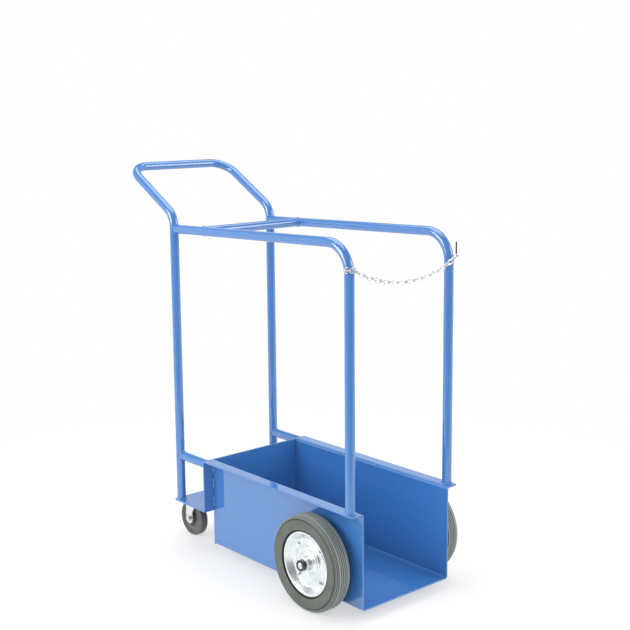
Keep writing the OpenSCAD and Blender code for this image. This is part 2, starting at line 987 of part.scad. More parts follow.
// Open hook on the left front post: a foot on the tube and an upright pin
module chain_hook() {
    hook_drop = wire_d + hook_bend_r;
    foot_l = -post_y - eye_at[1] - hook_bend_r;
    color(zinc)
        on_side(-1)
            difference() {
                translate(eye_at) {
                    translate([0, 0, hook_bend_r - hook_drop])
                        rod(eye_rod_r, hook_rise + wire_d);
                    translate([0, 0, hook_rise])
                        sphere(eye_rod_r);
                    translate([0, hook_bend_r, hook_bend_r - hook_drop])
                        rotate([90, 0, 90])
                            rotate([0, 0, 180])
                                rotate_extrude(angle = 90)
                                    translate([hook_bend_r, 0])
                                        circle(eye_rod_r);
                    translate([0, hook_bend_r, -hook_drop])
                        rotate([-90, 0, 0])
                            rod(eye_rod_r, foot_l);
                }
                translate([front_post_x, -post_y, 0])
                    rod(tube_r + weld_gap, rail_height);
            }
}

tray_floor();
side_panel_left();
side_panel_right();
rear_wall();
castor_platform();
rear_post_left();
rear_post_right();
push_handle();
side_rail_left();
side_rail_right();
lower_stub_left();
lower_stub_right();
cross_tube();
stub_axle_left();
stub_axle_right();
axle_washers_left();
axle_washers_right();
axle_collar_left();
axle_collar_right();
tyre_left();
tyre_right();
outer_disc_left();
outer_disc_right();
inner_disc_left();
inner_disc_right();
hub_left();
hub_right();
hub_bushes_left();
hub_bushes_right();
disc_rivets_left();
disc_rivets_right();
castor_race_left();
castor_race_right();
castor_balls_left();
castor_balls_right();
castor_stud_left();
castor_stud_right();
castor_nut_left();
castor_nut_right();
castor_fork_left();
castor_fork_right();
castor_axle_left();
castor_axle_right();
castor_axle_nut_left();
castor_axle_nut_right();
castor_sleeve_left();
castor_sleeve_right();
castor_core_left();
castor_core_right();
castor_tread_left();
castor_tread_right();
chain_eye();
chain_hook();
chain_end_links();
chain_span();
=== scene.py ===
import math

import bmesh
import bpy
from mathutils import Matrix, Vector


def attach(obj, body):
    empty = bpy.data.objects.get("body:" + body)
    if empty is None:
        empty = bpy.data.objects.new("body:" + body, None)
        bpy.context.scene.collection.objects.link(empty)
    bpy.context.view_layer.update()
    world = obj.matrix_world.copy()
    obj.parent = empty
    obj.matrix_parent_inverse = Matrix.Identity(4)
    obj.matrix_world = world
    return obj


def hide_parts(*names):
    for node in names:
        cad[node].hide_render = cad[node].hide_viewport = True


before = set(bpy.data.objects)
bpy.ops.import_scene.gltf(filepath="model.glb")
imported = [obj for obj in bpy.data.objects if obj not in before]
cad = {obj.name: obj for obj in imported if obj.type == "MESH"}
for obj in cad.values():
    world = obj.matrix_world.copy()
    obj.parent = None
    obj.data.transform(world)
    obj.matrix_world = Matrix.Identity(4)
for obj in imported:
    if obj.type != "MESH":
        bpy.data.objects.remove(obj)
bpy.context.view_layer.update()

# Tray: folded 4 mm steel sheet with a floor, two walls and two outward lips.
# The sheet is bent in a press, left open at the front, and enamelled blue.
FRONT_X = 0.5063
WALL_X = -0.1297
WALL_MID_Y = 0.158
LIP_Y = 0.196
LIP_TOP = 0.290
TRAY_UNDER = 0.028
SHEET = 0.004
FOLD_R = 0.006
FOLD_LAND = 0.0075
LIP_CORNER_R = 0.007
EDGE_R = 0.001
NEAR = 0.001
SHARP_ANGLE = math.radians(35)


def feed(tree, socket, value):
    if isinstance(value, bpy.types.NodeSocket):
        tree.links.new(value, socket)
    else:
        socket.default_value = value


def add_node(tree, kind, inputs=None, **settings):
    node = tree.nodes.new(kind)
    for label, value in settings.items():
        setattr(node, label, value)
    for label, value in (inputs or {}).items():
        feed(tree, node.inputs[label], value)
    return node


def noise(tree, place, scale, detail=2.0, roughness=0.5):
    return add_node(tree, "ShaderNodeTexNoise", {
        "Vector": place, "Scale": scale, "Detail": detail, "Roughness": roughness}).outputs["Fac"]


def ramp(tree, value, low, high, out_low=0.0, out_high=1.0):
    return add_node(tree, "ShaderNodeMapRange", {
        "Value": value, "From Min": low, "From Max": high,
        "To Min": out_low, "To Max": out_high}).outputs["Result"]


def blend(tree, factor, first, second):
    inputs = {0: factor, 6: first, 7: second}
    return add_node(tree, "ShaderNodeMix", inputs, data_type="RGBA").outputs[2]


def maths(tree, operation, first, second):
    return add_node(tree, "ShaderNodeMath", {0: first, 1: second}, operation=operation).outputs[0]


def new_group(name, inputs):
    group = bpy.data.node_groups.new(name, "ShaderNodeTree")
    for label, kind, value in inputs:
        socket = group.interface.new_socket(label, in_out="INPUT", socket_type=kind)
        socket.default_value = value
    for label, kind in (("Colour", "NodeSocketColor"), ("Roughness", "NodeSocketFloat"),
                        ("Height", "NodeSocketFloat")):
        group.interface.new_socket(label, in_out="OUTPUT", socket_type=kind)
    given = add_node(group, "NodeGroupInput").outputs
    made = add_node(group, "NodeGroupOutput").inputs
    place = add_node(group, "ShaderNodeTexCoord").outputs["Object"]
    return group, given, made, place


def enamel_group():
    group, given, made, place = new_group("enamel_coat", (
        ("Paint", "NodeSocketColor", (0.05, 0.16, 0.5, 1.0)),
        ("Shade", "NodeSocketColor", (0.04, 0.13, 0.45, 1.0)),
        ("Wear", "NodeSocketFloat", 0.5),
    ))
    scratched = (0.30, 0.44, 0.70, 1.0)
    clouds = noise(group, place, scale=4.0, detail=4.0)
    peel = noise(group, place, scale=75.0)
    handling = noise(group, place, scale=18.0, detail=6.0, roughness=0.65)
    stretched = add_node(group, "ShaderNodeMapping", {
        "Vector": place, "Rotation": (0.2, 0.35, 0.6),
        "Scale": (40.0, 320.0, 150.0)}).outputs["Vector"]
    strands = noise(group, stretched, scale=1.0, detail=3.0, roughness=0.7)
    hairlines = ramp(group, strands, 0.72, 0.77)
    rubbed = ramp(group, handling, 0.58, 0.72)
    scuff = maths(group, "MULTIPLY", maths(group, "MULTIPLY", hairlines, rubbed), given["Wear"])
    toned = blend(group, ramp(group, clouds, 0.3, 0.7), given["Shade"], given["Paint"])
    worn = blend(group, maths(group, "MULTIPLY", scuff, 0.25), toned, scratched)
    feed(group, made["Colour"], worn)
    film = ramp(group, handling, 0.3, 0.7, 0.28, 0.38)
    feed(group, made["Roughness"], maths(group, "ADD", film, maths(group, "MULTIPLY", scuff, 0.2)))
    feed(group, made["Height"], maths(group, "ADD", peel, maths(group, "MULTIPLY", clouds, 6.0)))
    return group


ENAMEL = enamel_group()


def dress(name, group, values, depth, strength):
    material = bpy.data.materials.new(name)
    material.use_nodes = True
    tree = material.node_tree
    shader = tree.nodes["Principled BSDF"]
    finish = add_node(tree, "ShaderNodeGroup", values, node_tree=group).outputs
    feed(tree, shader.inputs["Base Color"], finish["Colour"])
    feed(tree, shader.inputs["Roughness"], finish["Roughness"])
    relief = add_node(tree, "ShaderNodeBump", {
        "Height": finish["Height"], "Distance": depth, "Strength": strength})
    feed(tree, shader.inputs["Normal"], relief.outputs["Normal"])
    return material, shader


def blue_enamel(name, paint, shade, wear):
    values = {"Paint": paint, "Shade": shade, "Wear": wear}
    material, shader = dress(name, ENAMEL, values, depth=0.0001, strength=0.15)
    shader.inputs["Specular IOR Level"].default_value = 0.0
    shader.inputs["Coat Weight"].default_value = 1.0
    shader.inputs["Coat Roughness"].default_value = 0.03
    shader.inputs["Coat IOR"].default_value = 2.0
    return material


BLUE = (0.052, 0.195, 0.51, 1.0)
BLUE_DEEP = (0.046, 0.178, 0.47, 1.0)
sheet_enamel = blue_enamel("sheet_enamel", BLUE, BLUE_DEEP, wear=0.7)


def finish_piece(name, bm, material, body, slot, *replaced):
    mesh = bpy.data.meshes.new(name)
    bm.to_mesh(mesh)
    bm.free()
    mesh.materials.append(material)
    mesh.shade_smooth()
    mesh.set_sharp_from_angle(angle=SHARP_ANGLE)
    piece = bpy.data.objects.new(name, mesh)
    bpy.context.scene.collection.objects.link(piece)
    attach(piece, body)
    if replaced:
        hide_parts(*replaced)
    return piece


def soften_edges(piece, width, degrees=50):
    bevel = piece.modifiers.new("edges", "BEVEL")
    bevel.width = width
    bevel.segments = 2
    bevel.limit_method = "ANGLE"
    bevel.angle_limit = math.radians(degrees)
    bevel.harden_normals = True


def thicken(piece, thickness, offset):
    wall = piece.modifiers.new("wall", "SOLIDIFY")
    wall.thickness = thickness
    wall.offset = offset


def chain_of_points(bm, points, closed=False):
    line = [bm.verts.new(point) for point in points]
    for first, second in zip(line, line[1:]):
        bm.edges.new((first, second))
    if closed:
        bm.edges.new((line[-1], line[0]))
    return line


def pulled_points(geometry):
    return [item for item in geometry if isinstance(item, bmesh.types.BMVert)]


def fold_tray():
    bm = bmesh.new()
    low = TRAY_UNDER + SHEET / 2
    high = LIP_TOP - SHEET / 2
    half = [
        (0.0, low), (WALL_MID_Y - FOLD_LAND, low), (WALL_MID_Y, low), (WALL_MID_Y, low + FOLD_LAND),
        (WALL_MID_Y, high - FOLD_LAND), (WALL_MID_Y, high), (WALL_MID_Y + FOLD_LAND, high),
        (LIP_Y, high),
    ]
    outline = [(-y, z) for y, z in reversed(half[1:])] + half
    section = chain_of_points(bm, [(WALL_X, y, z) for y, z in outline])
    folds = [v for v, (y, z) in zip(section, outline) if abs(y) == WALL_MID_Y and z in (low, high)]
    bmesh.ops.bevel(bm, geom=folds, offset=FOLD_R, segments=6, profile=0.5,
                    affect="VERTICES", material=-1)
    swept = bmesh.ops.extrude_edge_only(bm, edges=bm.edges[:])["geom"]
    bmesh.ops.translate(bm, verts=pulled_points(swept), vec=(FRONT_X - WALL_X, 0, 0))
    corners = [v for v in bm.verts if v.co.x > FRONT_X - NEAR and abs(v.co.y) > LIP_Y - NEAR]
    bmesh.ops.bevel(bm, geom=corners, offset=LIP_CORNER_R, segments=4, profile=0.5,
                    affect="VERTICES", material=-1)
    bmesh.ops.recalc_face_normals(bm, faces=bm.faces[:])
    return bm


tray = finish_piece("tray", fold_tray(), sheet_enamel, "frame", "blue_paint",
                    "tray_floor", "side_panel_left", "side_panel_right")
thicken(tray, SHEET, offset=0.0)
soften_edges(tray, EDGE_R)

# Rear wall: a cut plate of the same steel, welded across the back of the tray.
# Its ears stand out beside the panels and carry the stub tubes.
PANEL_Y = 0.160
PLATFORM_UNDER = 0.134
CUT_EDGE_R = 0.0009


def cut_rear_plate():
    bm = bmesh.new()
    half = [(PANEL_Y, TRAY_UNDER), (PANEL_Y, PLATFORM_UNDER),
            (LIP_Y, PLATFORM_UNDER), (LIP_Y, LIP_TOP)]
    outline = half + [(-y, z) for y, z in reversed(half)]
    face = bm.faces.new([bm.verts.new((WALL_X, y, z)) for y, z in outline])
    pushed = bmesh.ops.extrude_face_region(bm, geom=[face])["geom"]
    bmesh.ops.translate(bm, verts=pulled_points(pushed), vec=(-SHEET, 0, 0))
    bmesh.ops.recalc_face_normals(bm, faces=bm.faces[:])
    return bm


rear_plate = finish_piece("rear_plate", cut_rear_plate(), sheet_enamel, "frame", "blue_paint",
                          "rear_wall")
soften_edges(rear_plate, CUT_EDGE_R)

# Castor platform: 6 mm plate welded to the rear wall. The rear posts stand on it, and the
# castors hang from it.
REAR_EDGE_X = -0.2837
PLATFORM_TOP = 0.140
PLATFORM_CORNER_R = 0.004

shelf = bmesh.new()
bmesh.ops.create_cube(shelf, size=1.0)
bmesh.ops.scale(shelf, verts=shelf.verts[:],
                vec=(WALL_X - SHEET - REAR_EDGE_X, 2 * LIP_Y, PLATFORM_TOP - PLATFORM_UNDER))
shelf_middle = ((WALL_X - SHEET + REAR_EDGE_X) / 2, 0, (PLATFORM_TOP + PLATFORM_UNDER) / 2)
bmesh.ops.translate(shelf, verts=shelf.verts[:], vec=shelf_middle)
upright = [e for e in shelf.edges if abs(e.verts[0].co.z - e.verts[1].co.z) > NEAR
           and e.verts[0].co.x < REAR_EDGE_X + NEAR]
bmesh.ops.bevel(shelf, geom=upright, offset=PLATFORM_CORNER_R, segments=4, profile=0.5,
                affect="EDGES", material=-1)
platform_plate = finish_piece("platform_plate", shelf, sheet_enamel, "frame", "blue_paint",
                              "castor_platform")
soften_edges(platform_plate, EDGE_R)

# Rear posts and push handle: 26 mm steel tube from the platform up, drawn through a bender
# at the knees and at the corners of the bar, and enamelled with the frame.
TUBE_R = 0.013
TUBE_WALL = 0.0026
TUBE_LAND = 0.0015
TUBE_SIDES = 56
BEND_STEP = 4
POST_Y = 0.180
REAR_POST_X = -0.2697
KNEE_START = 0.96415
KNEE_TURN = 60
ARM_RISE = math.radians(30)
HANDLE_BEND = 0.060
ARM_RUN = 0.16979
BAR_HALF = 0.120
ALONG, ACROSS, UP = Vector((1, 0, 0)), Vector((0, 1, 0)), Vector((0, 0, 1))
tube_enamel = blue_enamel("tube_enamel", BLUE, BLUE_DEEP, wear=0.8)


def everything(bm):
    return bm.verts[:] + bm.edges[:] + bm.faces[:]


def start_tube(place, heading, radius=TUBE_R, segments=TUBE_SIDES):
    bm = bmesh.new()
    bmesh.ops.create_circle(bm, segments=segments, radius=radius)
    turn = UP.rotation_difference(heading).to_matrix()
    bmesh.ops.rotate(bm, verts=bm.verts[:], cent=(0, 0, 0), matrix=turn)
    bmesh.ops.translate(bm, verts=bm.verts[:], vec=place)
    return bm, bm.edges[:]


def run_straight(bm, ring, heading, length):
    for stretch in (TUBE_LAND, length - 2 * TUBE_LAND, TUBE_LAND):
        swept = bmesh.ops.extrude_edge_only(bm, edges=ring)["geom"]
        moved = pulled_points(swept)
        bmesh.ops.translate(bm, verts=moved, vec=heading * stretch)
        edges = [item for item in swept if isinstance(item, bmesh.types.BMEdge)]
        ring = [e for e in edges if set(e.verts) <= set(moved)]
    return ring


def run_bend(bm, ring, centre, axis, degrees, step=BEND_STEP):
    corners = list({v for e in ring for v in e.verts})
    swept = bmesh.ops.spin(bm, geom=corners + ring, cent=centre, axis=axis,
                           angle=math.radians(degrees), steps=int(degrees / step),
                           use_merge=False, use_duplicate=False)
    return [e for e in swept["geom_last"] if isinstance(e, bmesh.types.BMEdge)]


def bend_handle():
    bm, ring = start_tube((REAR_POST_X, POST_Y, PLATFORM_TOP), UP)
    ring = run_straight(bm, ring, UP, KNEE_START - PLATFORM_TOP)
    knee = (REAR_POST_X - HANDLE_BEND, POST_Y, KNEE_START)
    ring = run_bend(bm, ring, knee, -ACROSS, KNEE_TURN)
    arm = Vector((-math.cos(ARM_RISE), 0, math.sin(ARM_RISE)))
    ring = run_straight(bm, ring, arm, ARM_RUN)
    mouth = {v for e in ring for v in e.verts}
    corner = sum((v.co for v in mouth), Vector()) / len(mouth)
    corner_axis = (math.sin(ARM_RISE), 0, math.cos(ARM_RISE))
    ring = run_bend(bm, ring, corner - HANDLE_BEND * ACROSS, corner_axis, 90)
    run_straight(bm, ring, -ACROSS, BAR_HALF)
    bmesh.ops.mirror(bm, geom=everything(bm), matrix=Matrix(), merge_dist=0.0001, axis="Y")
    bmesh.ops.recalc_face_normals(bm, faces=bm.faces[:])
    return bm


def finish_tube(name, bm, *replaced):
    tube = finish_piece(name, bm, tube_enamel, "frame", "blue_paint", *replaced)
    thicken(tube, TUBE_WALL, offset=-1.0)


finish_tube("handle_tube", bend_handle(), "rear_post_left", "rear_post_right", "push_handle")

# Side rails: each is one tube, welded to a rear post, rising slightly to the front and then
# bent down to stand on the tray's lip.
FRONT_POST_X = 0.4813
RAIL_BEND = 0.075
RAIL_ARC_Z = 0.90298
RAIL_TURN = 91.5255
RAIL_RUN = 0.6724
SIDES = ((1, "left"), (-1, "right"))


def bend_rail(side):
    y = side * POST_Y
    bm, ring = start_tube((FRONT_POST_X, y, LIP_TOP), UP)
    ring = run_straight(bm, ring, UP, RAIL_ARC_Z - LIP_TOP)
    ring = run_bend(bm, ring, (FRONT_POST_X - RAIL_BEND, y, RAIL_ARC_Z), -ACROSS, RAIL_TURN)
    turn = math.radians(RAIL_TURN)
    run_straight(bm, ring, Vector((-math.sin(turn), 0, math.cos(turn))), RAIL_RUN)
    bmesh.ops.recalc_face_normals(bm, faces=bm.faces[:])
    return bm


for side, word in SIDES:
    finish_tube("rail_" + word, bend_rail(side), "side_rail_" + word)

# Stub tubes and cross tube: short lengths of the same tube, cut to fit and welded in
# between the posts and the ears, and between the two rails.
STUB_Z = 0.277
CROSS_Z = 0.96373
TUCK = 0.002


def cut_tube(start, heading, length):
    bm, ring = start_tube(start, heading)
    run_straight(bm, ring, heading, length)
    bmesh.ops.recalc_face_normals(bm, faces=bm.faces[:])
    return bm


for side, word in SIDES:
    stub_start = (REAR_POST_X + TUCK, side * POST_Y, STUB_Z)
    stub = cut_tube(stub_start, ALONG, WALL_X - SHEET - REAR_POST_X - TUCK)
    finish_tube("stub_" + word, stub, "lower_stub_" + word)
cross = cut_tube((WALL_X, TUCK - POST_Y, CROSS_Z), ACROSS, 2 * (POST_Y - TUCK))
finish_tube("cross_bar", cross, "cross_tube")

# Weld seams: rippled beads of filler where tubes and plates meet, painted over with the
# frame. Tubes are welded all round, plates in short stitches.
RAIL_END_Z = 0.96035
BEAD_R = 0.0022
FOOT_BEAD_R = 0.0027
REAR_FOOT_BEAD_R = 0.0024
FOOT_RING_R = TUBE_R + 0.0008
REAR_FOOT_RING_R = TUBE_R + 0.0002
EAR_RING_R = TUBE_R - 0.0008
BEAD_LIFT = 0.0006
RIPPLES = ((0.2, 1.9), (0.08, 0.7))
BEAD_STEPS = 48
SADDLE_DIP = 0.98
SADDLE_LENGTH = 1.03
STITCH_STEP = 0.002
EAR_STITCH_LIFT = 0.0010
SHELF_STITCH_LIFT = 0.0008
EAR_STITCHES = (0.150, 0.205, 0.252)
SHELF_STITCHES = (0.030, 0.120)
FLOOR_STITCHES = (-0.09, 0.06, 0.21, 0.36)
FLOOR_STITCH_Y = 0.132
MERGE = 0.00001
# The weld enamel is a lighter blue than the frame's, a painted highlight on the beads.
weld_enamel_highlit = blue_enamel("weld_enamel_highlit", (0.065, 0.218, 0.54, 1.0), BLUE, wear=0.2)


def lay_bead(name, points, radius, closed):
    curve = bpy.data.curves.new(name, "CURVE")
    curve.dimensions = "3D"
    curve.bevel_depth = radius
    curve.bevel_resolution = 3
    curve.use_fill_caps = True
    spline = curve.splines.new("POLY")
    spline.points.add(len(points) - 1)
    for index, (point, place) in enumerate(zip(spline.points, points)):
        point.co = (*place, 1.0)
        point.radius = 1.0 + sum(size * math.sin(index * pace) for size, pace in RIPPLES)
    spline.use_cyclic_u = closed
    path = bpy.data.objects.new(name + "_path", curve)
    bead = bmesh.new()
    bead.from_mesh(bpy.data.meshes.new_from_object(path))
    bpy.data.objects.remove(path)
    bmesh.ops.remove_doubles(bead, verts=bead.verts[:], dist=MERGE)
    finish_piece(name, bead, weld_enamel_highlit, "frame", "blue_paint")


def turns(count):
    return [2 * math.pi * index / count for index in range(count)]


def ring_path(centre, first, second, radius, count=BEAD_STEPS):
    return [centre + radius * (math.cos(a) * first + math.sin(a) * second) for a in turns(count)]


def saddle_path(centre, outward, sideways, along):
    path = []
    for a in turns(BEAD_STEPS):
        aside = TUBE_R * math.sin(a)
        out = math.sqrt((TUBE_R + BEAD_LIFT) ** 2 - SADDLE_DIP * aside ** 2)
        ahead = SADDLE_LENGTH * TUBE_R * math.cos(a)
        path.append(centre + out * outward + aside * sideways + ahead * along)
    return path


def lay_stitches(name, starts, heading, length, radius):
    steps = range(int(length / STITCH_STEP))
    for number, start in enumerate(starts):
        path = [Vector(start) + heading * (STITCH_STEP * index) for index in steps]
        lay_bead("%s_%d" % (name, number), path, radius, False)


for side, word in SIDES:
    y = side * POST_Y
    front_foot = Vector((FRONT_POST_X, y, LIP_TOP + BEAD_LIFT))
    rear_foot = Vector((REAR_POST_X, y, PLATFORM_TOP + BEAD_LIFT))
    ear = Vector((WALL_X - SHEET - BEAD_LIFT, y, STUB_Z - BEAD_LIFT))
    seams = (
        ("post_foot", ring_path(front_foot, ALONG, ACROSS, FOOT_RING_R), FOOT_BEAD_R),
        ("rear_foot", ring_path(rear_foot, ALONG, ACROSS, REAR_FOOT_RING_R), REAR_FOOT_BEAD_R),
        ("stub_ear", ring_path(ear, ACROSS, UP, EAR_RING_R), BEAD_R),
        ("stub_post", saddle_path(Vector((REAR_POST_X, y, STUB_Z)), ALONG, ACROSS, UP), BEAD_R),
        ("rail_post", saddle_path(Vector((REAR_POST_X, y, RAIL_END_Z)), ALONG, ACROSS, UP), BEAD_R),
        ("cross", saddle_path(Vector((WALL_X, y, CROSS_Z)), -side * ACROSS, UP, ALONG), BEAD_R),
    )
    for seam, path, radius in seams:
        lay_bead(seam + "_weld_" + word, path, radius, True)
    ears = [(WALL_X + EAR_STITCH_LIFT, side * (PANEL_Y + EAR_STITCH_LIFT), level)
            for level in EAR_STITCHES]
    lay_stitches("ear_stitch_" + word, ears, UP, length=0.030, radius=0.0036)
    shelves = [(WALL_X - SHEET - SHELF_STITCH_LIFT, side * start, PLATFORM_TOP + SHELF_STITCH_LIFT)
               for start in SHELF_STITCHES]
    lay_stitches("shelf_stitch_" + word, shelves, side * ACROSS, length=0.036, radius=0.0026)
    floors = [(start, side * FLOOR_STITCH_Y, TRAY_UNDER) for start in FLOOR_STITCHES]
    lay_stitches("floor_stitch_" + word, floors, ALONG, length=0.05, radius=0.0024)

# Stub axles: turned bright steel with a flange welded to the tray's side. A washer stands
# at each end of the hub, and a blackened collar holds the wheel on. Sections of turned
# pieces are pairs of radius and distance out, in millimetres.
AXLE_X = 0.3553
AXLE_Z = 0.130
MM_IN_M = 1000
TURN_STEPS = 96
TURN_MERGE = 0.000001
FLANGE_BEAD_RING = 0.0305
FLANGE_BEAD_R = 0.0026
FLANGE_BEAD_LIFT = 0.0008
FLANGE_BEAD_STEPS = 64
WASHER_BORE = 10.1
WASHER_R = 18.0
WASHER_T = 2.0
AXLE_SECTION = [(0.0, 0.0), (30.0, 0.0), (30.0, 5.0), (10.0, 5.0),
                (10.0, 80.8), (8.8, 83.0), (5.8, 84.4), (0.0, 84.8)]
COLLAR_SECTION = [(10.1, 73.3), (15.0, 73.3), (15.0, 83.3), (10.1, 83.3)]


def plating_group():
    group, given, made, place = new_group("zinc_plating", (
        ("Metal", "NodeSocketColor", (0.8, 0.82, 0.84, 1.0)),
        ("Bloom", "NodeSocketColor", (0.6, 0.7, 0.76, 1.0)),
        ("Dull", "NodeSocketFloat", 0.3),
    ))
    blotch = noise(group, place, scale=34.0, detail=5.0, roughness=0.6)
    veil = noise(group, place, scale=11.0, detail=3.0)
    grain = noise(group, place, scale=300.0)
    bloomed = maths(group, "MULTIPLY", ramp(group, blotch, 0.35, 0.7),
                    ramp(group, veil, 0.35, 0.65, 0.2, 0.9))
    feed(group, made["Colour"], blend(group, bloomed, given["Metal"], given["Bloom"]))
    spread = maths(group, "ADD", ramp(group, blotch, 0.3, 0.7, -0.06, 0.08),
                   ramp(group, grain, 0.3, 0.7, -0.02, 0.03))
    feed(group, made["Roughness"], maths(group, "ADD", given["Dull"], spread))
    feed(group, made["Height"], maths(group, "ADD", grain, blotch))
    return group


PLATING = plating_group()


def plated_steel(name, metal, bloom, dull):
    values = {"Metal": metal, "Bloom": bloom, "Dull": dull}
    material, shader = dress(name, PLATING, values, depth=0.00005, strength=0.3)
    shader.inputs["Metallic"].default_value = 1.0
    return material


axle_zinc = plated_steel(
    "axle_zinc", (0.74, 0.75, 0.76, 1.0), (0.52, 0.57, 0.62, 1.0), dull=0.2)
collar_black = plated_steel(
    "collar_black", (0.10, 0.10, 0.11, 1.0), (0.06, 0.06, 0.065, 1.0), dull=0.2)


def turn_part(centre, side, section, rounding, steps=TURN_STEPS, closed=True):
    bm = bmesh.new()
    points = [(centre[0], centre[1] + side * out / MM_IN_M, centre[2] + radius / MM_IN_M)
              for radius, out in section]
    line = chain_of_points(bm, points, closed)
    corners = line if closed else line[1:-1]
    bmesh.ops.bevel(bm, geom=corners, offset=rounding / MM_IN_M, segments=2, profile=0.5,
                    affect="VERTICES", material=-1)
    bmesh.ops.spin(bm, geom=bm.verts[:] + bm.edges[:], cent=centre, axis=ACROSS,
                   angle=2 * math.pi, steps=steps, use_merge=True, use_duplicate=False)
    bmesh.ops.remove_doubles(bm, verts=bm.verts[:], dist=TURN_MERGE)
    bmesh.ops.recalc_face_normals(bm, faces=bm.faces[:])
    return bm


def axle_seat(side):
    return (AXLE_X, side * PANEL_Y, AXLE_Z)


for side, word in SIDES:
    seat = axle_seat(side)
    axle = turn_part(seat, side, AXLE_SECTION, rounding=0.5, closed=False)
    finish_piece("axle_" + word, axle, axle_zinc, "frame", "zinc_plate", "stub_axle_" + word)
    collar = turn_part(seat, side, COLLAR_SECTION, rounding=0.9)
    finish_piece("collar_" + word, collar, collar_black,
                 "frame", "dark_steel", "axle_collar_" + word)
    for out, label, replaced in ((5.0, "inner", ["axle_washers_" + word]), (71.3, "outer", [])):
        section = [(WASHER_BORE, out), (WASHER_R, out),
                   (WASHER_R, out + WASHER_T), (WASHER_BORE, out + WASHER_T)]
        washer = turn_part(seat, side, section, rounding=0.4)
        finish_piece("washer_%s_%s" % (label, word), washer, axle_zinc,
                     "frame", "zinc_plate", *replaced)
    flange = Vector((AXLE_X, side * (PANEL_Y + FLANGE_BEAD_LIFT), AXLE_Z))
    bead = ring_path(flange, ALONG, UP, FLANGE_BEAD_RING, FLANGE_BEAD_STEPS)
    lay_bead("axle_weld_" + word, bead, FLANGE_BEAD_R, True)

# Tyres: solid grey rubber pressed onto the rims, ribbed round the tread and the shoulders,
# with smooth side walls.
WHEEL_MID = 0.044
WHEEL_STEPS = 144
TYRE_R = 130.0
SHOULDER_R = 13.0
TREAD_HALF = 13.0
TREAD_GROOVES = (3.0, 9.0)
GROOVE_R = 128.0
GROOVE_HALF = 1.2
GROOVE_FLOOR_HALF = 0.8
SHOULDER_GROOVES = (70, 51, 32)
SHOULDER_GROOVE_DEPTH = 1.8
SHOULDER_GROOVE_HALF = 5.5
SHOULDER_FLOOR_HALF = 3.5
CREASE_DEPTH = 2.4
TREAD_ROUND = 0.25
SIDE_WALL = [(110.0, 25.3), (100.0, 24.9), (94.0, 25.0), (91.0, 24.2),
             (90.2, 21.8), (90.2, 18.8), (84.2, 18.8)]


def vector_maths(tree, operation, first, second=(0.0, 0.0, 0.0)):
    inputs = {0: first, 1: second}
    made = add_node(tree, "ShaderNodeVectorMath", inputs, operation=operation).outputs
    return made["Value" if operation in ("LENGTH", "DOT_PRODUCT") else "Vector"]


def rubber_group():
    group, given, made, place = new_group("rubber_skin", (
        ("Rubber", "NodeSocketColor", (0.08, 0.08, 0.075, 1.0)),
        ("Bloom", "NodeSocketColor", (0.19, 0.19, 0.165, 1.0)),
        ("Groove", "NodeSocketColor", (0.05, 0.05, 0.045, 1.0)),
        ("Middle", "NodeSocketVector", (0.0, 0.0, 0.0)),
        ("Core radius", "NodeSocketFloat", 1.0),
        ("Core half", "NodeSocketFloat", 1.0),
        ("Rounding", "NodeSocketFloat", 0.0),
    ))
    bloom = noise(group, place, scale=26.0, detail=6.0, roughness=0.62)
    pores = noise(group, place, scale=420.0)
    folded = vector_maths(group, "ABSOLUTE", place)
    spoke = vector_maths(group, "SUBTRACT", folded, given["Middle"])
    flat = vector_maths(group, "MULTIPLY", spoke, (1.0, 0.0, 1.0))
    reach = vector_maths(group, "LENGTH", flat)
    aside = vector_maths(group, "ABSOLUTE", spoke)
    out = add_node(group, "ShaderNodeSeparateXYZ", {"Vector": aside}).outputs["Y"]
    rise = maths(group, "MAXIMUM", maths(group, "SUBTRACT", reach, given["Core radius"]), 0.0)
    over = maths(group, "MAXIMUM", maths(group, "SUBTRACT", out, given["Core half"]), 0.0)
    bulge = add_node(group, "ShaderNodeCombineXYZ", {"X": rise, "Y": over}).outputs["Vector"]
    depth = maths(group, "SUBTRACT", given["Rounding"], vector_maths(group, "LENGTH", bulge))
    # Painted shade: grooves sunk below the moulded surface take the dark Groove colour.
    groove_shade = ramp(group, depth, 0.0004, 0.0009)
    # Dust and painted highlight: random blooms, plus a lighter tread and shoulders outside the core
    # radius where the ribs catch the light.
    dust_and_lit_ribs = maths(group, "MAXIMUM", ramp(group, bloom, 0.4, 0.75, 0.0, 0.3),
                 ramp(group, rise, 0.002, 0.007, 0.0, 0.95))
    skin = blend(group, dust_and_lit_ribs, given["Rubber"], given["Bloom"])
    feed(group, made["Colour"], blend(group, groove_shade, skin, given["Groove"]))
    feed(group, made["Roughness"], ramp(group, bloom, 0.3, 0.7, 0.40, 0.54))
    feed(group, made["Height"], maths(group, "ADD", pores, maths(group, "MULTIPLY", bloom, 0.5)))
    return group


RUBBER = rubber_group()


def moulded_rubber(name, rubber, bloom, tread=None):
    values = {"Rubber": rubber, "Bloom": bloom, **(tread or {})}
    return dress(name, RUBBER, values, depth=0.0001, strength=0.3)[0]


# Bloom colours both the dusty blooms and the painted highlight on the tread ribs; the groove colour
# is painted shade.
tyre_rubber = moulded_rubber(
    "tyre_rubber", (0.085, 0.099, 0.080, 1.0), (0.245, 0.277, 0.255, 1.0),
    {"Groove": (0.020, 0.022, 0.020, 1.0), "Middle": (AXLE_X, PANEL_Y + WHEEL_MID, AXLE_Z),
     "Core radius": 0.117, "Core half": 0.0118, "Rounding": 0.013})


def shoulder(degrees, sink=0.0):
    a = math.radians(degrees)
    reach = SHOULDER_R - sink
    return TYRE_R - SHOULDER_R + reach * math.sin(a), TREAD_HALF + reach * math.cos(a)


def both_halves(half):
    return half + [(radius, -out) for radius, out in reversed(half[1:])]


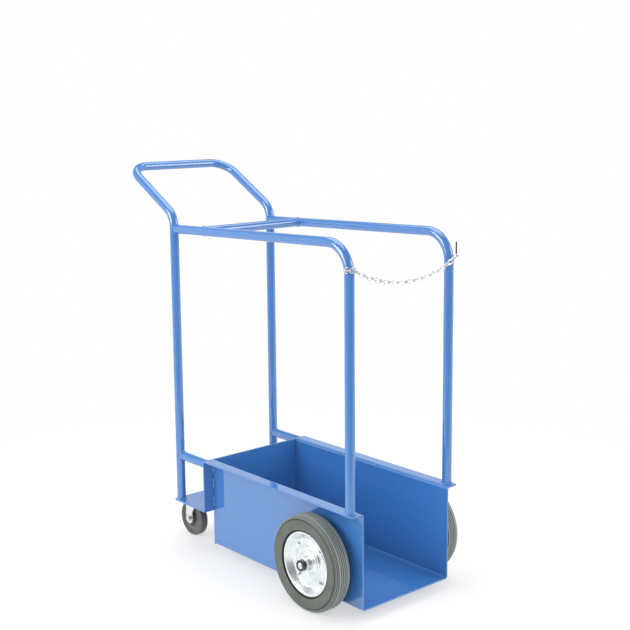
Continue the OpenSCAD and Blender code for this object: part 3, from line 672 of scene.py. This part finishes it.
half_tyre = [(TYRE_R, 0.0)]
for groove in TREAD_GROOVES:
    half_tyre += [(TYRE_R, groove - GROOVE_HALF), (GROOVE_R, groove - GROOVE_FLOOR_HALF),
                  (GROOVE_R, groove + GROOVE_FLOOR_HALF), (TYRE_R, groove + GROOVE_HALF)]
half_tyre += [shoulder(90)]
for groove in SHOULDER_GROOVES:
    half_tyre += [shoulder(groove + SHOULDER_GROOVE_HALF),
                  shoulder(groove + SHOULDER_FLOOR_HALF, SHOULDER_GROOVE_DEPTH),
                  shoulder(groove - SHOULDER_FLOOR_HALF, SHOULDER_GROOVE_DEPTH),
                  shoulder(groove - SHOULDER_GROOVE_HALF)]
half_tyre += [shoulder(20), shoulder(16, CREASE_DEPTH), shoulder(8, CREASE_DEPTH), shoulder(4)]
tyre_section = both_halves(half_tyre + SIDE_WALL)


def wheel_middle(side):
    return (AXLE_X, side * (PANEL_Y + WHEEL_MID), AXLE_Z)


for side, word in SIDES:
    tyre = turn_part(wheel_middle(side), side, tyre_section, TREAD_ROUND, WHEEL_STEPS)
    finish_piece("tyre_ring_" + word, tyre, tyre_rubber,
                 "front_wheel_" + word, "tyre_rubber", "tyre_" + word)

# Wheel discs: two pressed steel dishes, zinc plated, riveted back to back round the hub
# tube, with an embossed ring for stiffness and a flange that holds the tyre.
DISC_T = 2.5
RIVET_RING = 0.06055
RIVET_TURN = math.pi / 4
DISC_FACE = [(17.1, 16.0), (26.4, 16.0), (32.0, 11.6), (36.0, 10.6), (39.5, 11.8), (44.0, 11.4),
             (48.0, 7.6), (54.5, 5.0), (66.5, 5.0), (70.5, 9.0), (80.6, 20.0), (83.4, 21.5),
             (86.5, 21.5)]
DISC_RIM = [(86.5, 19.0), (84.0, 19.0), (84.0, 0.1), (81.5, 0.1)]
DISC_BACK = [(radius, out - DISC_T) for radius, out in reversed(DISC_FACE[:-2])]
RIVET_HEAD = [(0.0, 7.5), (2.2, 7.4), (4.4, 6.2), (5.0, 5.0), (0.0, 5.0)]
HUB_SECTION = [(13.1, 7.3), (17.0, 7.3), (17.0, 71.0), (13.1, 71.0)]
disc_zinc = plated_steel(
    "disc_zinc", (0.88, 0.91, 0.92, 1.0), (0.64, 0.73, 0.76, 1.0), dull=0.26)
rivet_steel = plated_steel(
    "rivet_steel", (0.36, 0.38, 0.40, 1.0), (0.22, 0.24, 0.26, 1.0), dull=0.3)
nylon_bush = moulded_rubber("nylon_bush", (0.70, 0.69, 0.62, 1.0), (0.60, 0.59, 0.53, 1.0))


def set_rivets(middle):
    head = turn_part((0, 0, 0), 1, RIVET_HEAD, rounding=0.6, steps=24, closed=False)
    place = (RIVET_RING * math.cos(RIVET_TURN), 0, RIVET_RING * math.sin(RIVET_TURN))
    bmesh.ops.translate(head, verts=head.verts[:], vec=place)
    bmesh.ops.mirror(head, geom=everything(head), matrix=Matrix(), merge_dist=0, axis="Y")
    bmesh.ops.spin(head, geom=everything(head), cent=(0, 0, 0), axis=ACROSS, angle=1.5 * math.pi,
                   steps=3, use_merge=False, use_duplicate=True)
    bmesh.ops.translate(head, verts=head.verts[:], vec=middle)
    bmesh.ops.recalc_face_normals(head, faces=head.faces[:])
    return head


def coat_node(node, material):
    cad[node].data.materials.clear()
    cad[node].data.materials.append(material)


for side, word in SIDES:
    wheel = "front_wheel_" + word
    middle = wheel_middle(side)
    for facing, label in ((1, "outer"), (-1, "inner")):
        section = [(radius, facing * out) for radius, out in DISC_FACE + DISC_RIM + DISC_BACK]
        dish = turn_part(middle, side, section, rounding=0.9, steps=WHEEL_STEPS)
        finish_piece("dish_%s_%s" % (label, word), dish, disc_zinc,
                     wheel, "zinc_plate", "%s_disc_%s" % (label, word))
    hub = turn_part(axle_seat(side), side, HUB_SECTION, rounding=0.5)
    finish_piece("hub_tube_" + word, hub, axle_zinc, wheel, "zinc_plate", "hub_" + word)
    finish_piece("rivet_heads_" + word, set_rivets(middle), rivet_steel,
                 wheel, "zinc_plate", "disc_rivets_" + word)
    coat_node("hub_bushes_" + word, nylon_bush)

# Castors: pressed zinc forks on a ball race, held by a stud that is plug-welded into the
# platform, with a moulded grey wheel centre and a ribbed rubber tread.
CASTOR_X = -0.2527
CASTOR_WHEEL_X = -0.3027
CASTOR_Y = 0.112
CASTOR_R = 0.055
PRESSED_EDGE = 0.0012
BOLT_EDGE = 0.0006
STUD_EDGE = 0.0007
MOULDED_EDGE = 0.0008
PLUG_R = 0.0085
PLUG_FLATNESS = 0.15
HALF_TREAD = [(55.0, 0.0), (55.0, 2.6), (54.0, 2.9), (54.0, 3.7), (55.0, 4.0), (55.0, 6.6),
              (54.0, 6.9), (54.0, 7.7), (54.9, 8.1), (53.6, 11.2), (50.4, 13.0), (49.0, 13.0),
              (48.4, 12.2), (47.6, 12.2), (47.0, 13.0), (45.1, 13.0)]
fork_zinc = plated_steel(
    "fork_zinc", (0.78, 0.80, 0.81, 1.0), (0.54, 0.60, 0.64, 1.0), dull=0.26)
# As on the tyres, the tread is lighter outside the core radius, a painted highlight, and the
# grooves carry painted shade.
castor_rubber = moulded_rubber(
    "castor_rubber", (0.115, 0.120, 0.105, 1.0), (0.165, 0.170, 0.150, 1.0),
    {"Groove": (0.030, 0.033, 0.030, 1.0), "Middle": (-CASTOR_WHEEL_X, CASTOR_Y, CASTOR_R),
     "Core radius": 0.0485, "Core half": 0.0065, "Rounding": 0.0065})
castor_grey = moulded_rubber("castor_grey", (0.118, 0.120, 0.108, 1.0), (0.165, 0.165, 0.150, 1.0))


def merged_copy(node):
    bm = bmesh.new()
    bm.from_mesh(cad[node].data)
    bmesh.ops.remove_doubles(bm, verts=bm.verts[:], dist=MERGE)
    return bm


def softened_copy(name, node, material, body, slot, width):
    bm = merged_copy(node)
    bmesh.ops.dissolve_limit(bm, angle_limit=math.radians(1), verts=bm.verts[:], edges=bm.edges[:])
    soften_edges(finish_piece(name, bm, material, body, slot, node), width, degrees=40)


def plug_dome(side):
    plug = bmesh.new()
    bmesh.ops.create_uvsphere(plug, u_segments=32, v_segments=12, radius=PLUG_R)
    bmesh.ops.scale(plug, verts=plug.verts[:], vec=(1.0, 1.0, PLUG_FLATNESS))
    bmesh.ops.translate(plug, verts=plug.verts[:], vec=(CASTOR_X, side * CASTOR_Y, PLATFORM_TOP))
    return plug


for side, word in SIDES:
    swivel, wheel = "castor_swivel_" + word, "castor_wheel_" + word
    softened_copy("fork_" + word, "castor_fork_" + word, fork_zinc,
                  swivel, "zinc_plate", PRESSED_EDGE)
    softened_copy("fork_axle_" + word, "castor_axle_" + word, axle_zinc,
                  swivel, "zinc_plate", BOLT_EDGE)
    softened_copy("fork_nut_" + word, "castor_axle_nut_" + word, axle_zinc,
                  swivel, "zinc_plate", BOLT_EDGE)
    softened_copy("race_" + word, "castor_race_" + word, fork_zinc,
                  "frame", "zinc_plate", PRESSED_EDGE)
    finish_piece("plug_weld_" + word, plug_dome(side), weld_enamel_highlit, "frame", "blue_paint")
    softened_copy("king_stud_" + word, "castor_stud_" + word, axle_zinc,
                  "frame", "zinc_plate", STUD_EDGE)
    softened_copy("king_nut_" + word, "castor_nut_" + word, axle_zinc,
                  "frame", "zinc_plate", BOLT_EDGE)
    softened_copy("wheel_centre_" + word, "castor_core_" + word, castor_grey,
                  wheel, "grey_plastic", MOULDED_EDGE)
    middle = (CASTOR_WHEEL_X, side * CASTOR_Y, CASTOR_R)
    tread = turn_part(middle, side, both_halves(HALF_TREAD), TREAD_ROUND)
    finish_piece("wheel_tread_" + word, tread, castor_rubber,
                 wheel, "castor_rubber", "castor_tread_" + word)
    balls = "castor_balls_" + word
    finish_piece("race_balls_" + word, merged_copy(balls), axle_zinc, "frame", "zinc_plate", balls)
    coat_node("castor_sleeve_" + word, axle_zinc)

# Chain: zinc-plated links of bent and welded wire. They run from an eye on the right post,
# round the front of both posts, to an open hook on the left one. The eye and the hook are
# bent from rod.
WIRE_R = 0.0016
WIRE_SIDES = 18
LINK_STRAIGHT = 0.0079
LINK_END_R = 0.0055
LINK_BEND_STEP = 9
LINK_MERGE = 0.000005
LINK_COUNT = 25
CHAIN_X = 0.5046
ARC_STEP = math.radians(1.130495)
ARC_R = 0.3801399
ARC_CENTRE_Z = 1.2498228
FLANK_LINK = Vector((0.5007563, -0.1864684, 0.9158893))
FLANK_TURN = math.radians(66)
EYE_LINK = Vector((0.4923115, -0.1982050, 0.9158893))
EYE_TURN = math.radians(34)
OTHER_SIDE = Vector((1, -1, 1))
chain_zinc = plated_steel(
    "chain_zinc", (0.80, 0.81, 0.81, 1.0), (0.55, 0.58, 0.60, 1.0), dull=0.2)
hook_steel = plated_steel(
    "hook_steel", (0.090, 0.095, 0.105, 1.0), (0.050, 0.052, 0.058, 1.0), dull=0.30)


def bend_link():
    bm, ring = start_tube((-LINK_STRAIGHT / 2, LINK_END_R, 0), ALONG, WIRE_R, WIRE_SIDES)
    for end in (1, -1):
        ring = run_straight(bm, ring, end * ALONG, LINK_STRAIGHT)
        ring = run_bend(bm, ring, (end * LINK_STRAIGHT / 2, 0, 0), -UP, 180, LINK_BEND_STEP)
    bmesh.ops.remove_doubles(bm, verts=bm.verts[:], dist=LINK_MERGE)
    bmesh.ops.recalc_face_normals(bm, faces=bm.faces[:])
    link = bpy.data.meshes.new("link")
    bm.to_mesh(link)
    bm.free()
    return link


def joint(number):
    turn = (2 * number - LINK_COUNT) * ARC_STEP
    return Vector((CHAIN_X, ARC_R * math.sin(turn), ARC_CENTRE_Z - ARC_R * math.cos(turn)))


def arc_link(number):
    first, second = joint(number), joint(number + 1)
    return (first + second) / 2, (second - first).normalized(), 90 * (number % 2)


def level_heading(turn):
    return Vector((math.cos(turn), math.sin(turn), 0))


def hang_links(name, places, body, node):
    link = bend_link()
    bm = bmesh.new()
    for middle, heading, roll in places:
        placed = set(bm.verts)
        bm.from_mesh(link)
        turn = (Matrix.Rotation(math.atan2(heading.y, heading.x), 4, "Z")
                @ Matrix.Rotation(-math.asin(heading.z), 4, "Y")
                @ Matrix.Rotation(math.radians(roll), 4, "X"))
        fresh = [v for v in bm.verts if v not in placed]
        bmesh.ops.transform(bm, matrix=Matrix.Translation(middle) @ turn, verts=fresh)
    finish_piece(name, bm, chain_zinc, body, "zinc_plate", node)


end_links = [(EYE_LINK, level_heading(EYE_TURN), 0), (FLANK_LINK, level_heading(FLANK_TURN), 90),
             arc_link(0)]
end_links += [(middle * OTHER_SIDE, heading * OTHER_SIDE, roll)
              for middle, heading, roll in end_links]
hanging = [arc_link(number) for number in range(1, LINK_COUNT - 1)]
hang_links("links_hanging", hanging, "chain", "chain_span")
hang_links("links_at_posts", end_links, "frame", "chain_end_links")
finish_piece("eye", merged_copy("chain_eye"), chain_zinc, "frame", "zinc_plate", "chain_eye")
finish_piece("hook", merged_copy("chain_hook"), hook_steel, "frame", "zinc_plate", "chain_hook")

# Studio: a white floor and surround, with soft lamps at the left, above, beside the lens and
# at the right, and the camera where the photograph was taken from.
FLOOR_HALF = 30.0
LENS_SIDE = (0.77, -0.64, 0.0)
WHITE = (1.0, 1.0, 1.0, 1.0)
AIM = (0.0, 0.0, 0.4)
VIEW_AZIMUTH = math.radians(48.883)
VIEW_ELEVATION = math.radians(9.443)
VIEW_ROLL = math.radians(-0.497)
VIEW_PLACE = (2.5702, -2.1156, 1.3248)
FOCAL_LENGTH = 67.062
LENS_SHIFT = -0.03

floor_shape = bmesh.new()
bmesh.ops.create_grid(floor_shape, x_segments=1, y_segments=1, size=FLOOR_HALF)
floor_mesh = bpy.data.meshes.new("floor")
floor_shape.to_mesh(floor_mesh)
floor_shape.free()
floor_white = bpy.data.materials.new("floor_white")
floor_white.use_nodes = True
tree = floor_white.node_tree
matt = tree.nodes["Principled BSDF"]
matt.inputs["Base Color"].default_value = (0.92, 0.92, 0.92, 1.0)
matt.inputs["Roughness"].default_value = 0.8
matt.inputs["Specular IOR Level"].default_value = 0.2


def seen_rays(tree):
    path = add_node(tree, "ShaderNodeLightPath").outputs
    looked_at = maths(tree, "MAXIMUM", path["Is Camera Ray"], path["Is Glossy Ray"])
    return maths(tree, "MAXIMUM", looked_at, path["Is Transmission Ray"]), path["Is Glossy Ray"]


spot = add_node(tree, "ShaderNodeTexCoord").outputs["Object"]
floor_seen, floor_mirrored = seen_rays(tree)
reach = vector_maths(tree, "LENGTH", spot)
fade = maths(tree, "MULTIPLY", ramp(tree, reach, 0.7, 1.7, 0.55, 1.0), floor_seen)
toward_lens = vector_maths(tree, "DOT_PRODUCT", spot, LENS_SIDE)
dimmed = maths(tree, "MULTIPLY", ramp(tree, toward_lens, 1.1, 1.7, 0.0, 0.6), floor_mirrored)
glow = add_node(tree, "ShaderNodeEmission", {
    "Color": WHITE, "Strength": maths(tree, "SUBTRACT", 1.0, dimmed)})
spread = add_node(tree, "ShaderNodeMixShader", {0: fade, 1: matt.outputs[0], 2: glow.outputs[0]})
feed(tree, tree.nodes["Material Output"].inputs["Surface"], spread.outputs[0])
floor_mesh.materials.append(floor_white)
floor = bpy.data.objects.new("floor", floor_mesh)
bpy.context.scene.collection.objects.link(floor)

studio = bpy.data.worlds.new("studio")
bpy.context.scene.world = studio
studio.use_nodes = True
sky = studio.node_tree
seen, mirrored = seen_rays(sky)
heading = add_node(sky, "ShaderNodeTexCoord").outputs["Generated"]
facing = vector_maths(sky, "DOT_PRODUCT", heading, LENS_SIDE)
rising = vector_maths(sky, "DOT_PRODUCT", heading, UP)
shaded = maths(sky, "MAXIMUM", ramp(sky, facing, 0.5, 0.8, 0.0, 0.75),
               ramp(sky, rising, 0.35, 0.65, 0.0, 0.7))
room = maths(sky, "MULTIPLY", shaded, mirrored)
strength = maths(sky, "SUBTRACT", ramp(sky, seen, 0.0, 1.0, 0.62, 1.0), room)
feed(sky, sky.nodes["Background"].inputs["Strength"], strength)
sky.nodes["Background"].inputs["Color"].default_value = WHITE


def soft_lamp(name, place, target, width, height, power):
    lamp = bpy.data.lights.new(name, "AREA")
    lamp.shape = "RECTANGLE"
    lamp.size = width
    lamp.size_y = height
    lamp.energy = power
    holder = bpy.data.objects.new(name, lamp)
    holder.location = place
    holder.rotation_euler = (Vector(target) - Vector(place)).to_track_quat("-Z", "Y").to_euler()
    bpy.context.scene.collection.objects.link(holder)
    return holder


soft_lamp("left_window", (-0.9, -3.4, 1.9), AIM, width=2.0, height=2.0, power=72.0)
soft_lamp("top_panel", (-0.3, 0.3, 3.2), AIM, width=2.6, height=2.6, power=50.0)
lens_side = soft_lamp("lens_side_panel", (2.9, -2.5, 1.9), AIM, width=2.4, height=2.4, power=30.0)
lens_side.visible_glossy = False
soft_lamp("right_window", (2.4, 2.4, 1.5), (0.1, 0.0, 0.4), width=1.6, height=2.0, power=34.0)

back = Vector((math.sin(VIEW_AZIMUTH) * math.cos(VIEW_ELEVATION),
               -math.cos(VIEW_AZIMUTH) * math.cos(VIEW_ELEVATION), math.sin(VIEW_ELEVATION)))
right = Vector((math.cos(VIEW_AZIMUTH), math.sin(VIEW_AZIMUTH), 0.0))
above = back.cross(right)
rolled_right = right * math.cos(VIEW_ROLL) + above * math.sin(VIEW_ROLL)
rolled_above = above * math.cos(VIEW_ROLL) - right * math.sin(VIEW_ROLL)
lens = bpy.data.cameras.new("photo_camera")
lens.sensor_width = 36.0
lens.lens = FOCAL_LENGTH
lens.shift_y = LENS_SHIFT
lens.clip_end = 100.0
camera = bpy.data.objects.new("photo_camera", lens)
stand = Matrix((rolled_right, rolled_above, back)).transposed().to_4x4()
stand.translation = VIEW_PLACE
camera.matrix_world = stand
bpy.context.scene.collection.objects.link(camera)
bpy.context.scene.camera = camera
bpy.context.scene.view_settings.view_transform = "Standard"
